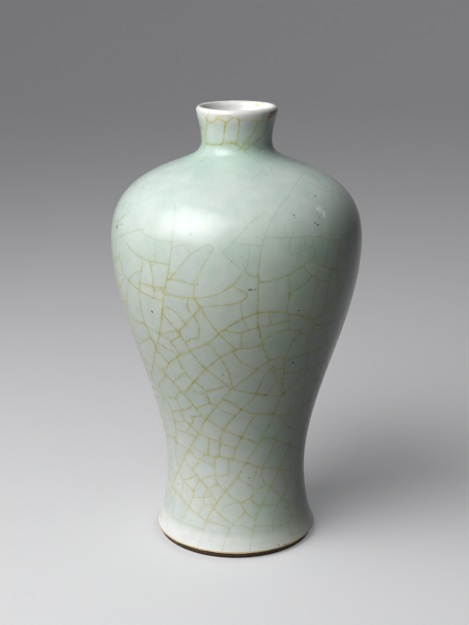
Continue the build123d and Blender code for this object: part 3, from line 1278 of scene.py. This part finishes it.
    def glazed(self, glaze, touch):
        """The finished material. Touch gives the point of the wall that is seen at a pixel."""
        base = self.ground(glaze, touch)
        base, line, groove = self.crackled(base, glaze, touch)
        base, dots, scuff_and_glint = self.marked(base, glaze, touch)
        rough = self.smooth_roughness + self.mottle_roughness * self.mottle
        rough = rough + self.line_roughness * line + self.scuff_and_glint_roughness * scuff_and_glint
        waves = self.bump(self.drift, self.wave_depth)
        dents = self.bump(0 - groove * self.groove_share - dots - scuff_and_glint, self.dent_depth, waves)
        return self.end({"Base Color": base, "Roughness": rough, "Normal": dents})


def plain_glaze_finish(name, tone):
    """Pale glossy glaze without a crackle."""
    mottle_size = 6
    mottle_tint = (0.4, from_screen(236, 236, 226))
    smooth_roughness = 0.1
    mottle_roughness = 0.08
    finish = Finish.of_surface(name, {"IOR": 1.5})
    mottle = finish.cloud(finish.place(), mottle_size, detail=4)
    base = finish.tinted(mottle, tuple(tone), mottle_tint)
    rough = smooth_roughness + mottle_roughness * mottle
    return finish.end({"Base Color": base, "Roughness": rough})


def iron_wash_finish(foot):
    """Dark wash, brushed round the foot and worn to the clay in streaks; lighter along a band halfway up,
    and darker above and below it, with painted contact shadow along the bottom.
    """
    flattened = (1, 1, 6)
    streak_size = 3
    grain_size = 0.6
    worn_range = (0.5, 0.72)
    grain_range = (0.45, 0.7)
    middle_band_foot = (0.8, 1.4)
    middle_band_top = (2.4, 1.8)
    middle_band_blur = 1.5
    middle_band_strength = 0.5
    painted_shadow_strength = 0.8
    grain_and_painted_shadow_tone = from_screen(150, 140, 130)
    smooth_roughness = 0.62
    grain_roughness = 0.2
    relief = 0.12
    finish = Finish.of_surface("iron_wash", {"IOR": 1.45})
    place = finish.place()
    drawn_out = finish.node("ShaderNodeVectorMath", {"operation": "MULTIPLY"}, {0: place, 1: flattened})
    streak = finish.cloud(drawn_out, streak_size, detail=5, roughness=0.65)
    grain = finish.cloud(place, grain_size, detail=3)
    base = finish.mix(finish.ease(streak, *worn_range), tuple(foot.wash_colour), tuple(foot.worn_colour))
    level = finish.height(place) + (streak - 0.5) * middle_band_blur
    middle_band = finish.ease(level, *middle_band_foot) * finish.ease(level, *middle_band_top)
    base = finish.mix(middle_band * middle_band_strength, base, tuple(foot.worn_colour))
    # Darker above and below the middle band: painted contact shadow at the bottom, and darker just under
    # the glaze edge
    base = finish.tinted(1 - middle_band, base, (painted_shadow_strength, grain_and_painted_shadow_tone))
    base = finish.tint(finish.ease(grain, *grain_range), base, grain_and_painted_shadow_tone)
    rough = smooth_roughness + grain_roughness * grain
    brushed = finish.bump(grain + streak, relief)
    return finish.end({"Base Color": base, "Roughness": rough, "Normal": brushed})


def clay_finish(name, tone):
    """Matt fired clay with fine grog."""
    grog_size = 0.9
    drift_size = 12
    grog_range = (0.5, 0.75)
    grog_tone = from_screen(196, 176, 150)
    drift_tint = (0.4, from_screen(222, 208, 188))
    smooth_roughness = 0.8
    grog_roughness = 0.15
    relief = 0.08
    finish = Finish.of_surface(name, {"IOR": 1.45})
    place = finish.place()
    grog = finish.cloud(place, grog_size, detail=5, roughness=0.7)
    drift = finish.cloud(place, drift_size, detail=3)
    base = finish.tint(finish.ease(grog, *grog_range), tuple(tone), grog_tone)
    base = finish.tinted(drift, base, drift_tint)
    rough = smooth_roughness + grog_roughness * grog
    return finish.end({"Base Color": base, "Roughness": rough, "Normal": finish.bump(grog, relief)})


class VASE_OT_studio(bpy.types.Operator):
    """Sets up the camera, the lamps, the room light and the pale sweep"""

    bl_idname = "vase.studio"
    bl_label = "Studio"

    # Shares of the softbox's width from its middle between which its cloth gets dimmer
    cloth_fade = (0.1, 0.62)

    # Sizes of the sweep in metres, and the steps of its curve and of its turn
    sweep_reach = 1.6
    sweep_bend = 1.2
    sweep_top = 3.5
    bend_steps = 24
    turn_steps = 96

    def execute(self, context):
        scene = context.scene
        scene.camera = self.camera(scene.vase_studio)
        scene.view_settings.view_transform = "Standard"
        self.softbox(scene.vase_studio)
        fill = self.back_fill(scene.vase_studio)
        scene.world = self.room(scene.vase_studio)
        sweep = self.sweep()
        sweep.data.materials.append(self.paper(scene.vase_studio))
        unlit = bpy.data.collections.new("unlit_by_fill")
        unlit.objects.link(sweep)
        unlit.collection_objects[0].light_linking.link_state = "EXCLUDE"
        fill.light_linking.receiver_collection = unlit
        return {"FINISHED"}

    def camera(self, studio):
        """Camera at the photograph's viewing angle."""
        lens = bpy.data.cameras.new("camera")
        lens.lens = studio.camera_lens
        lens.sensor_width = sensor_size
        lens.shift_x = -studio.axis_offset / max(frame_width, frame_height)
        camera = new_object("camera", lens)
        camera.location = (0, -studio.camera_distance, studio.camera_height)
        camera.rotation_euler = camera_turn(studio).to_euler()
        return camera

    def lamp(self, light, way, distance, facing):
        """Lamp at this distance from the vase in one direction, turned to shine against another."""
        lamp = new_object(light.name, light)
        lamp.location = (cad_box[0] + cad_box[1]) / 2 + way * distance
        lamp.rotation_euler = facing.to_track_quat("Z", "Y").to_euler()
        return lamp

    def softbox(self, studio):
        """Large soft lamp in front of the vase, with a cloth that is dimmer towards its corners."""
        light = bpy.data.lights.new("softbox", "AREA")
        light.shape = "RECTANGLE"
        light.size = studio.key_width
        light.size_y = studio.key_height
        light.spread = studio.key_spread
        light.energy = studio.key_power
        cloth = Finish(light, "Emission", {})
        on_cloth = cloth.node("ShaderNodeNewGeometry", {}, {}, "Parametric")
        away = cloth.away(on_cloth, (0.5, 0.5, 0))
        cloth.end({"Strength": 1 - studio.key_falloff * cloth.ease(away, *self.cloth_fade)})
        level = math.cos(studio.key_elevation)
        way = Vector((
            math.sin(studio.key_azimuth) * level, -math.cos(studio.key_azimuth) * level,
            math.sin(studio.key_elevation)))
        aside = Euler((0, 0, studio.key_turn)).to_matrix()
        return self.lamp(light, way, studio.key_distance, aside @ way)

    def back_fill(self, studio):
        """Weak lamp behind the vase, which leaves no reflection on it."""
        light = bpy.data.lights.new("back_fill", "AREA")
        light.size = studio.fill_width
        light.energy = studio.fill_power
        way = Vector((0, math.cos(studio.fill_elevation), math.sin(studio.fill_elevation)))
        fill = self.lamp(light, way, studio.fill_distance, way)
        fill.visible_glossy = False
        return fill

    def room(self, studio):
        """Weak even light from all sides."""
        world = bpy.data.worlds.new("room")
        world.use_nodes = True
        light = world.node_tree.nodes["Background"]
        light.inputs["Color"].default_value = (1, 1, 1, 1)
        light.inputs["Strength"].default_value = studio.room_light
        return world

    def paper(self, studio):
        """Pale paper, which throws less light on the vase than it shows."""
        finish = Finish.of_surface("sweep", {"Specular IOR Level": 0.1, "Emission Strength": 1})
        cloud_size = 40
        cloud_tint = (0.1, from_screen(235, 235, 235))
        smooth_roughness = 0.85
        cloud_roughness = 0.1
        cloud = finish.cloud(finish.place(), cloud_size, detail=3)
        rays = [
            finish.node("ShaderNodeLightPath", {}, {}, kind)
            for kind in ("Is Camera Ray", "Is Glossy Ray", "Is Transmission Ray")]
        seen = rays[0] + rays[1] + rays[2]
        tone = finish.mix(seen, tuple(studio.bounce_colour), tuple(studio.floor_colour))
        tone = finish.tinted(cloud, tone, cloud_tint)
        glow = finish.mix(seen, (0, 0, 0), tuple(studio.backdrop_glow))
        rough = smooth_roughness + cloud_roughness * cloud
        return finish.end({"Base Color": tone, "Roughness": rough, "Emission Color": glow})

    def sweep(self):
        """Round floor that curves up into a backdrop on all sides of the vase."""
        shape = bmesh.new()
        middle = shape.verts.new((0, 0, 0))
        turn = shape.verts.new((0, self.sweep_reach, 0))
        shape.edges.new((middle, turn))
        curve = bmesh.ops.spin(
            shape, geom=[turn], cent=(0, self.sweep_reach, self.sweep_bend), axis=(1, 0, 0),
            angle=math.pi / 2, steps=self.bend_steps)
        last = curve["geom_last"][0]
        end = shape.verts.new((0, self.sweep_reach + self.sweep_bend, self.sweep_top))
        shape.edges.new((last, end))
        bmesh.ops.spin(
            shape, geom=shape.verts[:] + shape.edges[:], cent=(0, 0, 0), axis=(0, 0, 1), angle=math.tau,
            steps=self.turn_steps, use_merge=True)
        bmesh.ops.remove_doubles(shape, verts=shape.verts, dist=weld)
        bmesh.ops.recalc_face_normals(shape, faces=shape.faces)
        sweep = new_object("sweep", smooth_mesh("sweep", shape))
        sweep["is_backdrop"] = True
        return sweep


class VASE_OT_crackled_glaze(bpy.types.Operator):
    """Makes the outer glaze with its net of stained cracks"""

    bl_idname = "vase.crackled_glaze"
    bl_label = "Crackled glaze"

    # How the section is drawn: steps in metres, turns in degrees, and neighbours that even out a slope
    fine_step = 0.2 * millimetre
    smooth_reach = 5
    sharpest_turn = 7
    hidden_step = 0.009
    hidden_turn = 16

    # Heights in metres
    foot_zone = 0.006
    lip_zone = 0.195
    craze_low = 0.0037
    craze_high = 0.1986
    rings_low = 0.18

    # Distance in millimetres that stands for no crack near, and cosines that part front, back and facets
    far = 4.0
    traced_cosine = 0.45
    back_cosine = 0.2
    near_cosine = 0.7
    facet_cosine = 0.8

    # Rings round the back of the neck and under the lip: height and wave in metres, and stain
    neck_ring = 0.1838
    neck_wave = 0.0006
    neck_stain = 0.7
    lip_ring = 0.1952
    lip_wave = 0.0005
    lip_stain = 0.5

    # Their waves in one turn and where those start, and the sway of the lip's waves in radians
    neck_waves = 2
    neck_start = 0.4
    lip_waves = 9
    lip_sways = 2
    lip_sway = 1.2

    # Long cracks where no picture shows them: turns in degrees, lowest and highest point, and stain
    body_turns = (-160, -136, -113, -92, 90, 112, 135, 157, 178)
    body_reach = (0.008, 0.168)
    body_stain = 0.9
    neck_turns = (-160, -136, -113, -88, 92, 118, 141, 170)
    neck_reach = (0.1815, 0.1958)
    neck_upright_stain = 0.8

    # Their wander: most slant in radians and how it varies, and two waves as depth and radians per metre
    middle_height = 0.1
    most_slant = 0.12
    slant_pace = 2.3
    slant_start = 0.7
    long_wave = (0.05, 60)
    short_wave = (0.02, 140)

    # Fine cracks at heights in metres: areas of the cells in square millimetres, and stains
    heights = (0.004, 0.014, 0.03, 0.06, 0.11, 0.125, 0.14, 0.155, 0.17, 0.182, 0.184, 0.2)
    cell_areas = (70, 60, 36, 36, 38, 60, 100, 200, 260, 160, 110, 110)
    fine_stains = (0.6, 0.7, 0.8, 0.85, 0.85, 0.8, 0.7, 0.5, 0.4, 0.4, 0.9, 0.9)

    # Waves of the lower edge round the foot
    drip_scale = 6
    small_drip_scale = 3
    small_drip = 0.3

    def execute(self, context):
        glaze = context.scene.vase_glaze
        view = Viewpoint(context.scene.vase_studio)
        outline = node_outline("outer_glaze")
        low = outline[:, 1] < cad_box[0].z + self.foot_zone
        foot_corner = int(np.argmax(np.where(low, outline[:, 0], -1)))
        outline = np.roll(outline, -foot_corner, axis=0)
        high = outline[:, 1] > self.lip_zone
        lip_corner = int(np.argmin(np.where(high, outline[:, 0], 1)))
        outside = drawn_finely(outline[:lip_corner + 1], self.fine_step)
        hidden = drawn_finely(np.concatenate([outline[lip_corner:], outline[:1]]), self.fine_step)
        slope = slopes(outside, self.smooth_reach)
        hidden_slope = slopes(hidden, self.smooth_reach)
        rows = thinned(outside, slope, glaze.row_step, math.radians(self.sharpest_turn))
        back_rows = thinned(hidden, hidden_slope, self.hidden_step, math.radians(self.hidden_turn))
        shape = turned(np.concatenate([rows, back_rows[1:-1]]), glaze.column_count)
        shape.verts.layers.float.new("crack_distance")
        shape.verts.layers.float.new("crack_stain")
        tint_layer = shape.faces.layers.float.new("cell_tint")

        wall = []
        for face in shape.faces:
            centre = face.calc_center_median()
            outward = face.normal.dot(Vector((centre.x, centre.y, 0)).normalized())
            if outward + face.normal.z > 0 and self.craze_low < centre.z < self.craze_high:
                wall.append(face)
        self.run_over(shape, outside[0], glaze.drip)
        crackle = Crackle(shape, wall, view)
        cells = self.craze(crackle, glaze)
        chance = random.Random(glaze.crack_seed)
        for cell in cells:
            tone = chance.random()
            for face in cell:
                face[tint_layer] = tone
        crackle.measure(self.far)

        wall_line = outside[:int(np.argmax(outside[:, 1])) + 1]
        touch = functools.partial(view.touch, wall=wall_line)
        material = Celadon.of_surface("crackled_glaze", {"IOR": 1.45}).glazed(glaze, touch)
        piece = as_piece("crackled_glaze", shape, material, "crackled_glaze", "outer_glaze")
        self.smooth_normals(piece.data, outside, slope)
        return {"FINISHED"}

    def run_over(self, shape, corner, drip):
        """Lets the lower edge of the glaze hang unevenly over the bare foot."""
        radius, height = corner
        for vert in shape.verts:
            if abs(math.hypot(vert.co.x, vert.co.y) - radius) < weld and abs(vert.co.z - height) < weld:
                around = vert.co.normalized() * self.drip_scale
                small = self.small_drip * noise.noise(around * self.small_drip_scale)
                vert.co.z -= drip * (0.5 + 0.5 * noise.noise(around) + small)

    def craze(self, crackle, glaze):
        """Cuts the cracks of the photograph, some long ones round the back, and the fine ones."""

        def round_neck(point):
            wave = self.neck_wave * math.sin(self.neck_waves * self.turn_of(point) + self.neck_start)
            return point.z - self.neck_ring - wave

        def under_lip(point):
            turn = self.turn_of(point)
            sway = self.lip_sway * math.sin(self.lip_sways * turn)
            wave = self.lip_wave * math.sin(self.lip_waves * turn + sway)
            return point.z - self.lip_ring - wave

        for ring, stain in ((round_neck, self.neck_stain), (under_lip, self.lip_stain)):
            behind = [
                face for face in crackle.faces
                if self.frontness(face) < self.back_cosine and face.calc_center_median().z > self.rings_low]
            crackle.cut(behind, ring, stain)
        lines = []
        stains = []
        for routes, stain in traced_groups:
            lines.extend(flowing(route) for route in routes)
            stains.extend([stain] * len(routes))
        for line, stain in zip(crackle.tied(lines), stains):
            crackle.trace(line, stain)
        crackle.join_ends()
        for number, degrees in enumerate(self.body_turns):
            self.upright(crackle, degrees, number, self.body_reach, self.body_stain)
        for number, degrees in enumerate(self.neck_turns):
            self.upright(crackle, degrees, number, self.neck_reach, self.neck_upright_stain)

        def wanted_area(height):
            return np.interp(height, self.heights, self.cell_areas) * millimetre ** 2

        def stain_at(height):
            return float(np.interp(height, self.heights, self.fine_stains))

        traced = []
        unseen = []
        for face in crackle.faces:
            (traced if self.open_to_view(face) else unseen).append(face)
        fine = crackle.craze(random.Random(glaze.crack_seed), unseen, wanted_area, stain_at)
        return crackle.cells(traced) + fine

    def upright(self, crackle, degrees, number, reach, stain):
        """Long crack up the wall where no picture shows it, with a wander of its own."""
        slant = self.most_slant * math.sin(self.slant_pace * number + self.slant_start)
        low, high = reach
        long_depth, long_pace = self.long_wave
        short_depth, short_pace = self.short_wave
        middle = math.radians(degrees)
        faces = [
            face for face in crackle.faces
            if math.cos(self.turn_of(face.calc_center_median()) - middle) > self.near_cosine]

        def level(point):
            rise = point.z - self.middle_height
            wander = slant * rise / self.middle_height
            wander += long_depth * math.sin(rise * long_pace + number)
            wander += short_depth * math.sin(rise * short_pace + 2 * number)
            apart = self.turn_of(point) - middle - wander
            return math.sin(apart) * math.hypot(point.x, point.y)

        crackle.cut(faces, level, stain, lambda point: low < point.z < high)

    def open_to_view(self, face):
        """Whether the photograph shows this face well enough to trace its cracks."""
        return self.frontness(face) > self.traced_cosine

    def frontness(self, face):
        """How far a face is turned to the front: 1 at the front, 0 at the sides."""
        return math.cos(self.turn_of(face.calc_center_median()))

    def turn_of(self, point):
        """Angle round the axis, from the front."""
        return math.atan2(point.x, -point.y)

    def smooth_normals(self, mesh, outside, slope):
        """Gives the wall the exact normals of its section, so that the cuts leave no facets."""
        tree = KDTree(len(outside))
        for index, (radius, height) in enumerate(outside):
            tree.insert((radius, height, 0), index)
        tree.balance()
        exact = []
        for vert in mesh.vertices:
            radius = math.hypot(vert.co.x, vert.co.y)
            index = tree.find((radius, vert.co.z, 0))[1]
            lift = -math.cos(slope[index])
            out = math.sin(slope[index])
            exact.append(Vector((vert.co.x / radius * out, vert.co.y / radius * out, lift)).normalized())
        normals = []
        for polygon in mesh.polygons:
            flat = polygon.normal
            for vert in polygon.vertices:
                normals.append(exact[vert] if exact[vert].dot(flat) > self.facet_cosine else flat)
        mesh.normals_split_custom_set(normals)


class VASE_OT_plain_glazes(bpy.types.Operator):
    """Finishes the glaze inside the mouth and under the foot"""

    bl_idname = "vase.plain_glazes"
    bl_label = "Mouth and base glaze"

    def execute(self, context):
        foot = context.scene.vase_foot
        dress("inner_glaze", plain_glaze_finish("mouth_glaze", foot.mouth_colour))
        dress("base_glaze", plain_glaze_finish("base_glaze", foot.base_colour))
        return {"FINISHED"}


class VASE_OT_bare_foot(bpy.types.Operator):
    """Finishes the bare foot with its iron wash"""

    bl_idname = "vase.bare_foot"
    bl_label = "Bare foot"

    def execute(self, context):
        dress("foot_wash", iron_wash_finish(context.scene.vase_foot))
        return {"FINISHED"}


class VASE_OT_clay(bpy.types.Operator):
    """Finishes the clay sections and the slip between them"""

    bl_idname = "vase.clay"
    bl_label = "Clay and slip"

    def execute(self, context):
        foot = context.scene.vase_foot
        clay = clay_finish("clay", foot.clay_colour)
        slip = clay_finish("slip", foot.slip_colour)
        for name in ("lower_body", "upper_body", "neck_and_mouth"):
            dress(name, clay)
        for name in ("body_luting_slip", "neck_luting_slip"):
            dress(name, slip)
        return {"FINISHED"}


class VASE_PT_sidebar(bpy.types.Panel):
    """Lists the steps that dress the vase"""

    bl_label = "Meiping Vase"
    bl_space_type = "VIEW_3D"
    bl_region_type = "UI"
    bl_category = "Vase"

    def draw(self, context):
        for step in steps:
            self.layout.operator(step.bl_idname)


steps = (VASE_OT_studio, VASE_OT_clay, VASE_OT_crackled_glaze, VASE_OT_plain_glazes, VASE_OT_bare_foot)
groups = {"vase_glaze": GlazeSettings, "vase_foot": FootSettings, "vase_studio": StudioSettings}


def register():
    for group in groups.values():
        bpy.utils.register_class(group)
    for step in (*steps, VASE_PT_sidebar):
        bpy.utils.register_class(step)
    for name, group in groups.items():
        setattr(bpy.types.Scene, name, bpy.props.PointerProperty(type=group))


def unregister():
    for name in groups:
        delattr(bpy.types.Scene, name)
    for step in (VASE_PT_sidebar, *reversed(steps)):
        bpy.utils.unregister_class(step)
    for group in groups.values():
        bpy.utils.unregister_class(group)


def main():
    register()
    bpy.ops.vase.studio()
    bpy.ops.vase.clay()
    bpy.ops.vase.crackled_glaze()
    bpy.ops.vase.plain_glazes()
    bpy.ops.vase.bare_foot()
    boxes = {"cad": cad_box, "visual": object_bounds()}
    {name: [list(corner) for corner in box] for name, box in boxes.items()}


if __name__ == "__main__":
    main()
